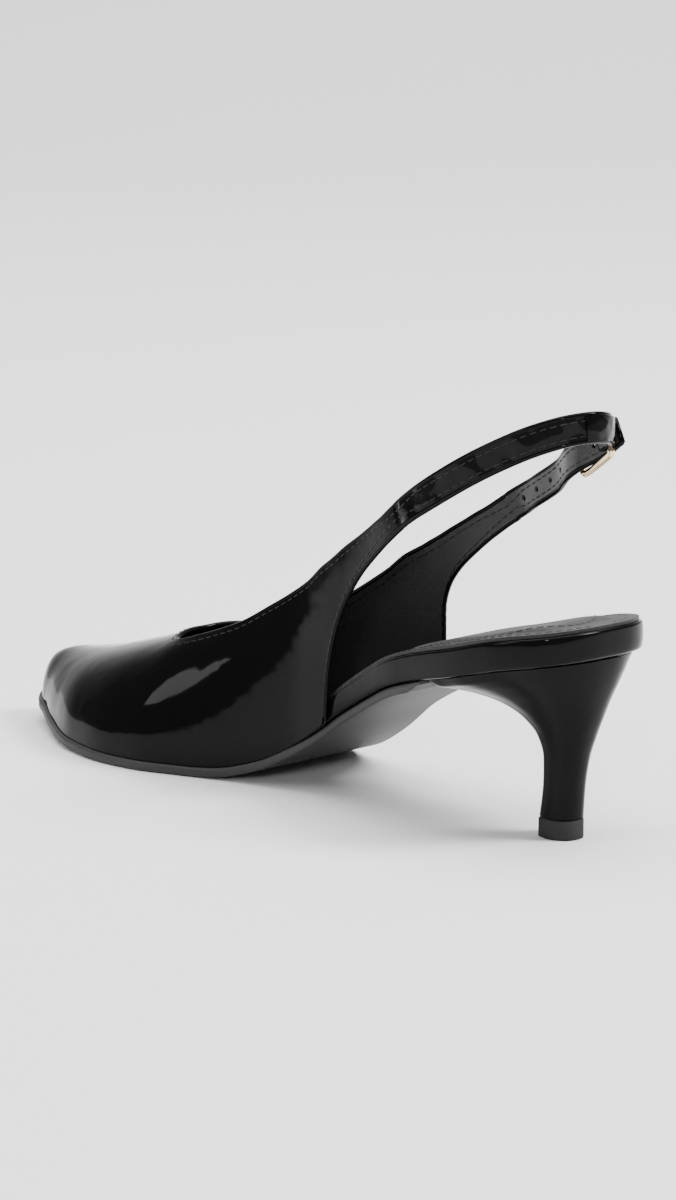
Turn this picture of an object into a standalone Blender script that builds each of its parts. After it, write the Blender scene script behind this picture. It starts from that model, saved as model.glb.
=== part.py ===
"""Slingback pump with a kitten heel, right shoe.

The shoe stands on its heel tip and forefoot. X runs from heel to toe, Y to the medial
side and Z up, and the origin is the middle of the heel tip's flat bottom.
Positions along the shoe are first measured from the rear end of the footbed.
Each table row gives shares of the named sizes that head it.
"""
import math

import bmesh
import bpy
import numpy as np
from mathutils import Vector

# Overall sizes of the shoe, in metres
SHOE_LENGTH = 0.243
BALL_WIDTH = 0.070
SEAT_HEIGHT = 0.0549
FOOTBED_THICKNESS = 0.0086
INSTEP_HEIGHT = 0.080
OUTSOLE_THICKNESS = 0.0030
SOLE_EDGE = 0.0012
WAIST_TUCK = 0.0012
UPPER_WALL = 0.0016
SOCK_THICKNESS = 0.0009
SOCK_INSET = 0.0014
EDGE_ROUND = 0.0012
REAR_RADIUS = 0.0290
TOE_RADIUS = 0.0110
HEEL_TIP_HEIGHT = 0.0059
HEEL_TIP_WIDTH = 0.0118
HEEL_SETBACK = 0.0183
HEEL_FRONT = 0.0540
TOPLINE_HEIGHT = 0.100
CLEARANCE = 0.0003

# Straps and buckle
STRAP_WIDTH = 0.0074
STRAP_THICKNESS = 0.0018
BACK_REACH = 0.062
BACK_WIDTH = 0.046
BACK_HEIGHT = 0.120
HOLE_DIAMETER = 0.0017
HOLE_SPACING = 0.0078
HOLE_COUNT = 4
FIRST_HOLE = 1.0
BUCKLE_LENGTH = 0.0172
BUCKLE_WIDTH = 0.0124
BUCKLE_WIRE = 0.0016
PRONG_WIRE = 0.0011
SLING_LEAD = 0.0040
TAIL_LENGTH = 0.0036

# Roundness of outline, wall and heel, and how finely they are divided
REAR_ROUNDING = 2.6
WALL_ROUNDING = 0.80
HEEL_ROUNDING = 2.3
HEEL_REAR_SHARE = 0.62
BREAST_NARROWING = 0.16
STATION_SPACING = 0.0105
HEEL_STEPS = 12
SLING_STEPS = 40
BUCKLE_STRAP_STEPS = 46
TWIST_STEPS = 8

# Outline of the last: share of the length, then half widths as shares of the ball width
PLAN = (
    # along, lateral, medial
    (0.000, 0.372, 0.372),
    (0.120, 0.379, 0.379),
    (0.260, 0.366, 0.325),
    (0.380, 0.336, 0.256),
    (0.450, 0.345, 0.250),
    (0.520, 0.380, 0.290),
    (0.610, 0.455, 0.390),
    (0.690, 0.510, 0.478),
    (0.740, 0.512, 0.490),
    (0.820, 0.430, 0.445),
    (0.900, 0.275, 0.315),
    (0.960, 0.160, 0.190),
    (1.000, 0.105, 0.125),
)

# Height of the feather line over the sole's underside at the ball as a share of the seat
# height, footbed thickness as a share of its own, and crown as a share of the instep height
SPINE = (
    # along, feather, thickness, crown
    (0.000, 1.000, 1.00, 1.20),
    (0.082, 0.940, 1.00, 1.20),
    (0.169, 0.845, 0.98, 1.20),
    (0.239, 0.772, 0.95, 1.20),
    (0.288, 0.703, 0.93, 1.14),
    (0.337, 0.597, 0.89, 1.06),
    (0.383, 0.480, 0.84, 0.99),
    (0.420, 0.362, 0.76, 0.92),
    (0.453, 0.268, 0.66, 0.84),
    (0.515, 0.132, 0.48, 0.75),
    (0.576, 0.064, 0.35, 0.65),
    (0.617, 0.0546, 0.30, 0.585),
    (0.712, 0.0546, 0.30, 0.450),
    (0.823, 0.070, 0.30, 0.335),
    (0.926, 0.116, 0.30, 0.230),
    (1.000, 0.166, 0.30, 0.165),
)

# Quarters from throat to strap: places along the shoe's length and heights over the
# floor as shares of the topline height. A height of zero lies on the feather line and a
# height of one hundred lies on the crown.
FEATHER = 0.0
CROWN = 100.0
LATERAL_RIBS = (
    # low_along, low_height, top_along, top_height
    (0.712, FEATHER, 0.712, CROWN),
    (0.662, FEATHER, 0.676, 0.385),
    (0.590, FEATHER, 0.612, 0.428),
    (0.524, FEATHER, 0.550, 0.492),
    (0.458, FEATHER, 0.488, 0.578),
    (0.405, FEATHER, 0.432, 0.670),
    (0.375, FEATHER, 0.391, 0.728),
    (0.374, 0.416, 0.366, 0.763),
    (0.372, 0.530, 0.348, 0.790),
    (0.360, 0.617, 0.332, 0.813),
    (0.337, 0.687, 0.314, 0.840),
    (0.300, 0.765, 0.290, 0.874),
    (0.250, 0.848, 0.2655, 0.912),
)
MEDIAL_RIBS = (
    # low_along, low_height, top_along, top_height
    (0.712, FEATHER, 0.712, CROWN),
    (0.662, FEATHER, 0.674, 0.388),
    (0.595, FEATHER, 0.600, 0.445),
    (0.535, FEATHER, 0.540, 0.512),
    (0.480, FEATHER, 0.484, 0.590),
    (0.435, FEATHER, 0.435, 0.672),
    (0.405, FEATHER, 0.396, 0.738),
    (0.400, 0.380, 0.370, 0.782),
    (0.388, 0.520, 0.352, 0.808),
    (0.366, 0.635, 0.337, 0.831),
    (0.336, 0.725, 0.320, 0.858),
    (0.300, 0.800, 0.300, 0.890),
    (0.262, 0.870, 0.2780, 0.930),
)

# Heel levels from the tip up: level at the rear as a share of the seat height, rear and
# front as shares of the heel's front reach, half width as a share of the seat's half
# width, and how far the level follows the sloping seat
HEEL_LEVELS = (
    # level, rear, front, half_width, follow
    (0.272, 0.218, 0.421, 0.222, 0.00),
    (0.430, 0.192, 0.414, 0.240, 0.00),
    (0.545, 0.156, 0.437, 0.292, 0.05),
    (0.655, 0.120, 0.509, 0.392, 0.20),
    (0.755, 0.089, 0.620, 0.520, 0.45),
    (0.845, 0.060, 0.750, 0.680, 0.70),
    (0.918, 0.040, 0.880, 0.830, 0.90),
    (0.963, 0.030, 0.968, 0.925, 1.00),
)

# The sling's and the buckle strap's middle lines, as shares of the back's reach, width
# and height
SLING_PATH = (
    # along, across, height
    (0.806, 0.455, 0.830),
    (0.516, 0.370, 0.917),
    (0.300, 0.245, 0.972),
    (0.190, 0.120, 0.994),
    (0.142, -0.005, 0.999),
    (0.152, -0.120, 0.993),
)
BUCKLE_STRAP_PATH = (
    # along, across, height
    (0.813, -0.480, 0.788),
    (0.655, -0.435, 0.8336),
)
BUCKLE_SPAN = (
    # along, across, height of a point ahead of the buckle and of one behind it
    (0.510, -0.385, 0.8805),
    (0.240, -0.310, 0.968),
)

# Colours and finishes
PATENT_BLACK = ((0.008, 0.008, 0.009, 1.0), 0.08, 0.0)
LINING_BLACK = ((0.020, 0.020, 0.021, 1.0), 0.55, 0.0)
SOLE_BLACK = ((0.012, 0.012, 0.012, 1.0), 0.25, 0.0)
RUBBER_BLACK = ((0.010, 0.010, 0.010, 1.0), 0.45, 0.0)
PALE_GOLD = ((0.830, 0.640, 0.400, 1.0), 0.18, 1.0)

LATERAL = -1
MEDIAL = 1


def clear_scene():
    """Remove every object so that the model starts from nothing."""
    for item in list(bpy.data.objects):
        bpy.data.objects.remove(item, do_unlink=True)


def read_table(table, column, share):
    """Read one column of a table at a share, on a smooth line with no overshoot."""
    knots = np.array([row[0] for row in table])
    values = np.array([row[column] for row in table])
    steps = np.diff(knots)
    slopes = np.diff(values) / steps
    tangents = np.zeros(len(knots))
    for k in range(1, len(knots) - 1):
        if slopes[k - 1] * slopes[k] > 0.0:
            first = 2.0 * steps[k] + steps[k - 1]
            second = steps[k] + 2.0 * steps[k - 1]
            tangents[k] = (first + second) / (first / slopes[k - 1] + second / slopes[k])
    tangents[0] = slopes[0]
    tangents[-1] = slopes[-1]
    share = min(max(share, knots[0]), knots[-1])
    k = min(int(np.searchsorted(knots, share, side="right")) - 1, len(steps) - 1)
    t = (share - knots[k]) / steps[k]
    return float(
        (1.0 + 2.0 * t) * (1.0 - t) ** 2 * values[k]
        + t * (1.0 - t) ** 2 * steps[k] * tangents[k]
        + t * t * (3.0 - 2.0 * t) * values[k + 1]
        + t * t * (t - 1.0) * steps[k] * tangents[k + 1]
    )


def ease(value, low, high):
    """Rise smoothly from nought at low to one at high."""
    t = min(max((value - low) / (high - low), 0.0), 1.0)
    return t * t * (3.0 - 2.0 * t)


def to_world(along, across, height):
    """Turn a place measured from the footbed's rear end into a world point."""
    return Vector((along - HEEL_SETBACK, across, height))


def outline_point(along, side, grow):
    """Point of the last's outline, grown outward by an even margin at both ends too."""
    column = 1 if side == LATERAL else 2
    width = read_table(PLAN, column, along / SHOE_LENGTH) * BALL_WIDTH + grow
    toe_start = SHOE_LENGTH - TOE_RADIUS
    rear = max(1.0 - along / REAR_RADIUS, 0.0)
    toe = min(max((along - toe_start) / TOE_RADIUS, 0.0), 1.0)
    rear_round = (1.0 - rear ** REAR_ROUNDING) ** (1.0 / REAR_ROUNDING)
    toe_round = math.sqrt(max(1.0 - toe * toe, 0.0))
    return along + grow * (toe - rear), width * rear_round * toe_round


def feather_height(along):
    """Height of the line where upper and footbed meet the outsole."""
    return read_table(SPINE, 1, along / SHOE_LENGTH) * SEAT_HEIGHT


def footbed_top(along):
    """Height of the footbed's top face."""
    thickness = read_table(SPINE, 2, along / SHOE_LENGTH) * FOOTBED_THICKNESS
    return feather_height(along) + CLEARANCE + thickness


def crown_rise(along):
    """Height of the last's crown over the feather line, rounded down at the toe's end."""
    toe = min(max((along - SHOE_LENGTH + TOE_RADIUS) / TOE_RADIUS, 0.0), 1.0)
    toe_round = 0.5 + 0.5 * math.sqrt(max(1.0 - toe * toe, 0.0))
    return read_table(SPINE, 3, along / SHOE_LENGTH) * INSTEP_HEIGHT * toe_round


def stations(start):
    """Places along the shoe, closer together where the outline turns round its ends."""
    rear_steps = 7
    toe_steps = 6
    places = []
    if start < REAR_RADIUS:
        for k in range(rear_steps):
            turn = 0.5 * math.pi * k / rear_steps
            places.append(start + (REAR_RADIUS - start) * (1.0 - math.cos(turn)))
        start = REAR_RADIUS
    toe_start = SHOE_LENGTH - TOE_RADIUS
    count = max(2, round((toe_start - start) / STATION_SPACING))
    for k in range(count):
        places.append(start + (toe_start - start) * k / count)
    for k in range(toe_steps + 1):
        places.append(toe_start + TOE_RADIUS * math.sin(0.5 * math.pi * k / toe_steps))
    return places


def outline_loop(places, margin, height):
    """Points round the outline: lateral side to the toe, then back on the medial side."""
    lateral = []
    medial = []
    for along in places:
        moved, across = outline_point(along, LATERAL, margin(along))
        lateral.append(to_world(moved, -across, height(along)))
        moved, across = outline_point(along, MEDIAL, margin(along))
        medial.append(to_world(moved, across, height(along)))
    if places[0] == 0.0:
        return lateral + medial[-2:0:-1]
    return lateral + medial[-2::-1]


def place_mesh(name, mesh_data, finish):
    """Make an object with its own material from a bmesh, faces outward."""
    bmesh.ops.recalc_face_normals(mesh_data, faces=mesh_data.faces)
    mesh = bpy.data.meshes.new(name)
    mesh_data.to_mesh(mesh)
    mesh_data.free()
    mesh.shade_smooth()
    mesh.set_sharp_from_angle(angle=math.radians(40.0))
    item = bpy.data.objects.new(name, mesh)
    bpy.context.scene.collection.objects.link(item)
    color, roughness, metallic = finish
    material = bpy.data.materials.new(name)
    material.use_nodes = True
    shader = material.node_tree.nodes["Principled BSDF"]
    shader.inputs["Base Color"].default_value = color
    shader.inputs["Roughness"].default_value = roughness
    shader.inputs["Metallic"].default_value = metallic
    item.data.materials.append(material)
    return item


def stack_loops(name, loops, side_count, finish):
    """Close a stack of outline loops with side walls and a face at each end.

    side_count is the number of stations on one side. The end faces pair each lateral
    point with its medial one.
    """
    data = bmesh.new()
    rings = [[data.verts.new(point) for point in loop] for loop in loops]
    count = len(rings[0])
    shared_rear = count == 2 * (side_count - 1)
    for low, high in zip(rings, rings[1:]):
        for k in range(count):
            following = (k + 1) % count
            data.faces.new((low[k], low[following], high[following], high[k]))

    def partner(ring, index):
        if index == side_count - 1:
            return ring[index]
        if shared_rear and index == 0:
            return ring[0]
        return ring[2 * (side_count - 1) - index]

    for ring in (rings[0], rings[-1]):
        for k in range(side_count - 1):
            corners = []
            for vert in (ring[k], ring[k + 1], partner(ring, k + 1), partner(ring, k)):
                if vert not in corners:
                    corners.append(vert)
            data.faces.new(corners)
    return place_mesh(name, data, finish)


def sole_margin(along):
    """How far the outsole stands out of the last: tucked in at the waist, proud forward."""
    waist = 0.36 * SHOE_LENGTH
    forepart = 0.50 * SHOE_LENGTH
    proud = CLEARANCE + UPPER_WALL + SOLE_EDGE
    return -WAIST_TUCK + (proud + WAIST_TUCK) * ease(along, waist, forepart)


def build_outsole():
    """Thin sole from the heel breast to the toe, with an eased lower edge."""
    places = stations(HEEL_FRONT + CLEARANCE)
    levels = (
        (OUTSOLE_THICKNESS, EDGE_ROUND * 0.6),
        (OUTSOLE_THICKNESS * 0.65, 0.0),
        (0.0, 0.0),
    )
    loops = []
    for depth, inset in levels:
        loop = outline_loop(
            places,
            lambda along, inset=inset: sole_margin(along) - inset,
            lambda along, depth=depth: feather_height(along) - depth,
        )
        loops.append(loop)
    return stack_loops("outsole", loops, len(places), SOLE_BLACK)


def footbed_margin(along):
    """The footbed keeps its full outline at the heel and slips inside the upper forward."""
    return -CLEARANCE * ease(along, 0.34 * SHOE_LENGTH, 0.42 * SHOE_LENGTH)


def build_footbed():
    """Wrapped platform under the foot, with rounded upper and lower edges."""
    places = stations(0.0)
    levels = (
        (0.0, EDGE_ROUND),
        (0.16, 0.25 * EDGE_ROUND),
        (0.35, 0.0),
        (0.82, 0.0),
        (1.0, 0.45 * EDGE_ROUND),
    )
    loops = []
    for rise, inset in levels:
        loop = outline_loop(
            places,
            lambda along, inset=inset: footbed_margin(along) - inset,
            lambda along, rise=rise: (feather_height(along) + CLEARANCE) * (1.0 - rise)
            + footbed_top(along) * rise,
        )
        loops.append(loop)
    return stack_loops("footbed", loops, len(places), PATENT_BLACK)


def build_sock_lining():
    """Thin leather sheet that covers the footbed inside its edge."""
    places = stations(0.0)
    loops = []
    for rise in (CLEARANCE, CLEARANCE + SOCK_THICKNESS):
        loop = outline_loop(
            places,
            lambda along: footbed_margin(along) - SOCK_INSET,
            lambda along, rise=rise: footbed_top(along) + rise,
        )
        loops.append(loop)
    return stack_loops("sock_lining", loops, len(places), LINING_BLACK)


def heel_section(rear, front, width, height, steps=HEEL_STEPS):
    """Rounded rear and nearly straight sides of one heel level, as a closed loop."""
    lateral = []
    medial = []
    for k in range(steps + 1):
        share = 1.0 - math.cos(0.5 * math.pi * k / steps)
        along = rear + (front - rear) * share
        left = max(1.0 - share / HEEL_REAR_SHARE, 0.0)
        rounding = (1.0 - left ** HEEL_ROUNDING) ** (1.0 / HEEL_ROUNDING)
        narrowing = 1.0 - BREAST_NARROWING * ease(share, HEEL_REAR_SHARE, 1.0)
        across = width * rounding * narrowing
        lateral.append((along, -across))
        medial.append((along, across))
    loop = lateral + medial[-1:0:-1]
    return [to_world(along, across, height(along)) for along, across in loop]


def close_heel(name, loops, finish):
    """Close heel loops with walls and paired end faces."""
    data = bmesh.new()
    rings = [[data.verts.new(point) for point in loop] for loop in loops]
    count = len(rings[0])
    for low, high in zip(rings, rings[1:]):
        for k in range(count):
            following = (k + 1) % count
            data.faces.new((low[k], low[following], high[following], high[k]))
    half = (count - 1) // 2
    for ring in (rings[0], rings[-1]):
        data.faces.new((ring[0], ring[1], ring[count - 1]))
        for k in range(1, half):
            data.faces.new((ring[k], ring[k + 1], ring[count - 1 - k], ring[count - k]))
    return place_mesh(name, data, finish)


def seat_drop(along):
    """How far the seat has fallen below its rear end."""
    return feather_height(0.0) - feather_height(along)


def build_heel():
    """Slim heel with a flared seat, whose breast sweeps forward as a thin wedge."""
    seat_half = outline_point(REAR_RADIUS, MEDIAL, -EDGE_ROUND)[1]
    foot = HEEL_TIP_HEIGHT + CLEARANCE
    reach = 0.5 * HEEL_TIP_WIDTH - 0.0003
    loops = []
    loop = heel_section(HEEL_SETBACK - reach, HEEL_SETBACK + reach, reach, lambda _: foot)
    loops.append(loop)
    for level, rear, front, width, follow in HEEL_LEVELS:
        loop = heel_section(
            rear * HEEL_FRONT,
            front * HEEL_FRONT,
            width * seat_half,
            lambda along, level=level, follow=follow: level * SEAT_HEIGHT
            - follow * seat_drop(along),
        )
        loops.append(loop)
    loop = heel_section(
        EDGE_ROUND,
        HEEL_FRONT,
        seat_half,
        lambda along: feather_height(along),
    )
    loops.append(loop)
    return close_heel("heel", loops, PATENT_BLACK)


def build_top_piece():
    """Flat tip under the heel, a little wider than the stem."""
    reach = 0.5 * HEEL_TIP_WIDTH
    loops = []
    for height in (0.0, HEEL_TIP_HEIGHT):
        loop = heel_section(
            HEEL_SETBACK - reach,
            HEEL_SETBACK + reach,
            reach,
            lambda _, height=height: height,
        )
        loops.append(loop)
    return close_heel("top_piece", loops, RUBBER_BLACK)


def last_point(along, angle, side, depth=0.0):
    """Point of the upper at a depth in its wall: the angle climbs from feather to crown."""
    moved, base = outline_point(along, side, CLEARANCE + UPPER_WALL - depth)
    across = base * max(math.cos(angle), 0.0) ** WALL_ROUNDING
    rise = (crown_rise(along) - depth) * math.sin(angle)
    return to_world(moved, side * across, feather_height(along) + CLEARANCE + rise)


def rib_angle(along, height):
    """Angle of a point of the upper from its height over the floor."""
    if height == FEATHER:
        return 0.0
    if height == CROWN:
        return 0.5 * math.pi
    rise = height * TOPLINE_HEIGHT - feather_height(along) - CLEARANCE
    return math.asin(min(max(rise / crown_rise(along), 0.0), 1.0))


def spread_ribs(ribs, parts):
    """Fill each span between two ribs with evenly spaced ones on a smooth line."""
    knots = [(k,) + row for k, row in enumerate(ribs)]
    result = []
    for k in range((len(ribs) - 1) * parts + 1):
        share = k / parts
        low_along = read_table(knots, 1, share) * SHOE_LENGTH
        top_along = read_table(knots, 3, share) * SHOE_LENGTH
        angles = [(n, rib_angle(row[0] * SHOE_LENGTH, row[1]),
                   rib_angle(row[2] * SHOE_LENGTH, row[3])) for n, row in enumerate(ribs)]
        result.append(
            (low_along, read_table(angles, 1, share), top_along, read_table(angles, 2, share))
        )
    return result


def upper_rows(ribs, vamp_rows):
    """Rows of the upper from the toe over the vamp and along one quarter to its strap."""
    throat = ribs[0][0] * SHOE_LENGTH
    rows = []
    for k in range(vamp_rows):
        turn = 0.5 * math.pi * (1.0 - k / vamp_rows)
        along = throat + (SHOE_LENGTH - throat) * math.sin(turn)
        rows.append((along, 0.0, along, 0.5 * math.pi))
    return rows + spread_ribs(ribs, 2)


def upper_grid(data, rows, columns, side, depth):
    """Grid of points of one side of the upper at a depth in its wall."""
    grid = []
    for low_along, low_angle, top_along, top_angle in rows:
        line = []
        for j in range(columns + 1):
            share = j / columns
            along = low_along + (top_along - low_along) * share
            angle = low_angle + (top_angle - low_angle) * share
            line.append(data.verts.new(last_point(along, angle, side, depth)))
        grid.append(line)
    return grid


def build_upper():
    """Vamp and both quarters in one hollow wall, open at topline, heel and underneath."""
    columns = 8
    vamp_rows = 9
    data = bmesh.new()
    for side, ribs in ((LATERAL, LATERAL_RIBS), (MEDIAL, MEDIAL_RIBS)):
        rows = upper_rows(ribs, vamp_rows)
        outer = upper_grid(data, rows, columns, side, 0.0)
        inner = upper_grid(data, rows, columns, side, UPPER_WALL)
        last = len(rows) - 1
        for i in range(last):
            for j in range(columns):
                for grid in (outer, inner):
                    corners = (grid[i][j], grid[i][j + 1], grid[i + 1][j + 1], grid[i + 1][j])
                    data.faces.new(corners)
            data.faces.new((outer[i][0], outer[i + 1][0], inner[i + 1][0], inner[i][0]))
            if i >= vamp_rows:
                top = columns
                data.faces.new((outer[i][top], outer[i + 1][top], inner[i + 1][top], inner[i][top]))
        for j in range(columns):
            data.faces.new((outer[last][j], outer[last][j + 1], inner[last][j + 1], inner[last][j]))
    bmesh.ops.remove_doubles(data, verts=data.verts, dist=0.00002)
    return place_mesh("upper", data, PATENT_BLACK)


def smooth_path(points, count):
    """Points spread along a smooth curve through the given ones."""
    knots = np.array([list(point) for point in points])
    steps = np.linalg.norm(np.diff(knots, axis=0), axis=1)
    places = np.concatenate(([0.0], np.cumsum(steps)))
    tangents = np.gradient(knots, places, axis=0)
    result = []
    for place in np.linspace(0.0, places[-1], count):
        k = min(int(np.searchsorted(places, place, side="right")) - 1, len(steps) - 1)
        t = (place - places[k]) / steps[k]
        point = (
            (1.0 + 2.0 * t) * (1.0 - t) ** 2 * knots[k]
            + t * (1.0 - t) ** 2 * steps[k] * tangents[k]
            + t * t * (3.0 - 2.0 * t) * knots[k + 1]
            + t * t * (t - 1.0) * steps[k] * tangents[k + 1]
        )
        result.append(Vector(point))
    return result


def strap_frames(path, first_upward):
    """Tangent, outward normal and width direction at each point of a strap.

    The width direction turns from the quarter's own to upright over the first points.
    """
    upright = Vector((0.0, 0.0, 1.0))
    frames = []
    for k, point in enumerate(path):
        before = path[max(k - 1, 0)]
        after = path[min(k + 1, len(path) - 1)]
        tangent = (after - before).normalized()
        outward = tangent.cross(first_upward.lerp(upright, ease(k, 0, TWIST_STEPS))).normalized()
        frames.append((point, tangent, outward, outward.cross(tangent)))
    return frames


def build_strap(name, path, first_upward):
    """Flat strap of even width and thickness along a path."""
    rings = []
    for point, _, outward, upward in strap_frames(path, first_upward):
        ring = []
        for across, through in ((-1, -1), (1, -1), (1, 1), (-1, 1)):
            corner = point + upward * (0.5 * across * STRAP_WIDTH)
            ring.append(corner + outward * (0.5 * through * STRAP_THICKNESS))
        rings.append(ring)
    return build_ring_solid(name, rings, False, PATENT_BLACK)


def back_point(row):
    """World point of a strap table's row."""
    along, across, height = row
    return to_world(along * BACK_REACH, across * BACK_WIDTH, height * BACK_HEIGHT)


def quarter_end(side):
    """Middle of the quarter's strap end, the way it leaves and its width direction."""
    ribs = spread_ribs(LATERAL_RIBS if side == LATERAL else MEDIAL_RIBS, 2)
    edges = []
    for low_along, low_angle, top_along, top_angle in ribs[-2:]:
        edges.append((last_point(low_along, low_angle, side), last_point(top_along, top_angle, side)))
    (low_before, top_before), (low, top) = edges
    upward = (top - low).normalized()
    leaving = (low + top) - (low_before + top_before)
    leaving = (leaving - upward * leaving.dot(upward)).normalized()
    outward = upward.cross(leaving).normalized()
    if outward.y * side < 0.0:
        outward.negate()
    return 0.5 * (low + top) - outward * (0.5 * UPPER_WALL), leaving, upward


def buckle_axes():
    """Middle of the buckle and its rearward, outward and width directions."""
    front = back_point(BUCKLE_SPAN[0])
    rear = back_point(BUCKLE_SPAN[1])
    rearward = (rear - front).normalized()
    outward = rearward.cross(Vector((0.0, 0.0, -1.0))).normalized()
    return 0.5 * (front + rear), rearward, outward, rearward.cross(outward)


def bar_point(bar_side, rise):
    """Point over the front bar (-1) or the rear bar (1), a rise outward from its middle."""
    middle, rearward, outward, _ = buckle_axes()
    reach = 0.5 * (BUCKLE_LENGTH - BUCKLE_WIRE)
    return middle + rearward * (reach * bar_side) + outward * rise


def strap_start(side):
    """First two points of a strap, just past its quarter's end."""
    end, leaving, _ = quarter_end(side)
    first = end + leaving * (2.0 * CLEARANCE)
    return [first, first + leaving * (0.4 * STRAP_WIDTH)]


def sling_points():
    """Sling's path from the medial quarter round the back to the buckle's rear bar."""
    rise = 0.5 * (BUCKLE_WIRE + STRAP_THICKNESS) + CLEARANCE
    _, rearward, _, _ = buckle_axes()
    end = bar_point(1, -rise)
    points = strap_start(MEDIAL)
    points += [back_point(row) for row in SLING_PATH]
    points += [end + rearward * SLING_LEAD, end - rearward * BUCKLE_WIRE]
    return smooth_path(points, SLING_STEPS)


def buckle_strap_points():
    """Strap's path from the lateral quarter under the front bar and over the rear bar."""
    rise = 0.5 * (BUCKLE_WIRE + STRAP_THICKNESS) + CLEARANCE
    _, rearward, _, _ = buckle_axes()
    points = strap_start(LATERAL)
    points += [back_point(row) for row in BUCKLE_STRAP_PATH]
    points.append(bar_point(-1, -rise) - rearward * BUCKLE_WIRE)
    points.append(bar_point(-1, -rise) + rearward * BUCKLE_WIRE)
    points.append(bar_point(1, rise) - rearward * BUCKLE_WIRE)
    points.append(bar_point(1, rise) + rearward * TAIL_LENGTH)
    return smooth_path(points, BUCKLE_STRAP_STEPS)


def add_cutter(name, strap, middle, direction, radius, depth):
    """Cut a round hole through a strap along a direction."""
    bpy.ops.mesh.primitive_cylinder_add(
        vertices=12,
        radius=radius,
        depth=depth,
        location=middle,
        rotation=direction.to_track_quat("Z", "Y").to_euler(),
    )
    cutter = bpy.context.object
    cutter.name = name
    cutter.hide_render = True
    cutter.display_type = "WIRE"
    hole = strap.modifiers.new(name, "BOOLEAN")
    hole.operation = "DIFFERENCE"
    hole.solver = "EXACT"
    hole.object = cutter


def punch_holes(strap, path, first_upward):
    """Cut the row of round holes between quarter and buckle, and the prong's own."""
    frames = strap_frames(path, first_upward)
    lengths = [0.0]
    for first, second in zip(path, path[1:]):
        lengths.append(lengths[-1] + (second - first).length)
    buckle_front = lengths[-1] - TAIL_LENGTH - BUCKLE_LENGTH
    for k in range(HOLE_COUNT):
        place = buckle_front - HOLE_SPACING * (k + FIRST_HOLE)
        nearest = min(range(len(path)), key=lambda n: abs(lengths[n] - place))
        point, _, outward, _ = frames[nearest]
        radius = 0.5 * HOLE_DIAMETER
        add_cutter("hole_cutter", strap, point, outward, radius, 3.0 * STRAP_THICKNESS)
    start, end = prong_ends()
    radius = 0.5 * PRONG_WIRE + CLEARANCE
    length = (end - start).length + 4.0 * BUCKLE_WIRE
    add_cutter("prong_cutter", strap, 0.5 * (start + end), end - start, radius, length)


def prong_ends():
    """Ends of the prong: hinged at the rear bar, resting outside the front bar."""
    rise = 0.5 * (BUCKLE_WIRE + PRONG_WIRE) + CLEARANCE
    _, rearward, _, _ = buckle_axes()
    start = bar_point(1, 0.0) - rearward * (0.5 * BUCKLE_WIRE + CLEARANCE)
    end = bar_point(-1, rise) - rearward * (0.25 * BUCKLE_WIRE)
    return start, end


def build_ring_solid(name, rings, closed, finish):
    """Close a run of rings, either back on itself or with a face at each end."""
    data = bmesh.new()
    rings = [[data.verts.new(point) for point in ring] for ring in rings]
    count = len(rings[0])
    pairs = list(zip(rings, rings[1:]))
    if closed:
        pairs.append((rings[-1], rings[0]))
    else:
        data.faces.new(rings[0])
        data.faces.new(rings[-1])
    for low, high in pairs:
        for k in range(count):
            following = (k + 1) % count
            data.faces.new((low[k], low[following], high[following], high[k]))
    return place_mesh(name, data, finish)


def build_buckle_frame():
    """Rectangular wire frame round the strap."""
    middle, rearward, outward, upward = buckle_axes()
    half_long = 0.5 * (BUCKLE_LENGTH - BUCKLE_WIRE)
    half_wide = 0.5 * (BUCKLE_WIDTH - BUCKLE_WIRE)
    radius = 0.5 * BUCKLE_WIRE
    rings = []
    for long_sign, wide_sign in ((-1, -1), (1, -1), (1, 1), (-1, 1)):
        center = middle + rearward * (half_long * long_sign) + upward * (half_wide * wide_sign)
        spoke = rearward * long_sign + upward * wide_sign
        ring = []
        for k in range(8):
            turn = 2.0 * math.pi * (k + 0.5) / 8
            ring.append(center + (spoke * math.cos(turn) + outward * math.sin(turn)) * radius)
        rings.append(ring)
    return build_ring_solid("buckle_frame", rings, True, PALE_GOLD)


def build_buckle_prong():
    """Slim tapered prong through the strap's hole."""
    start, end = prong_ends()
    _, _, outward, upward = buckle_axes()
    rings = []
    for share, size in ((0.0, 1.0), (0.7, 1.0), (1.0, 0.6)):
        center = start + (end - start) * share
        ring = []
        for k in range(8):
            turn = 2.0 * math.pi * (k + 0.5) / 8
            spoke = upward * math.cos(turn) + outward * math.sin(turn)
            ring.append(center + spoke * (0.5 * PRONG_WIRE * size))
        rings.append(ring)
    return build_ring_solid("buckle_prong", rings, False, PALE_GOLD)


def build():
    """Build every piece of the shoe."""
    clear_scene()
    build_outsole()
    build_footbed()
    build_sock_lining()
    build_heel()
    build_top_piece()
    build_upper()
    build_strap("sling_strap", sling_points(), quarter_end(MEDIAL)[2])
    path = buckle_strap_points()
    lateral_upward = quarter_end(LATERAL)[2]
    punch_holes(build_strap("buckle_strap", path, lateral_upward), path, lateral_upward)
    build_buckle_frame()
    build_buckle_prong()


build()
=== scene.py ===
"""Dresses the slingback pump: patent leather, lining, stitches, footbed, heel and buckle.

Every place is worked out in the shoe's own sizes, in metres. Places along the shoe are
measured from the footbed's rear end, and to_world moves them into the shared frame.
"""
import logging
import math
from collections.abc import Callable
from dataclasses import dataclass, field
from enum import Enum

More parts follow.
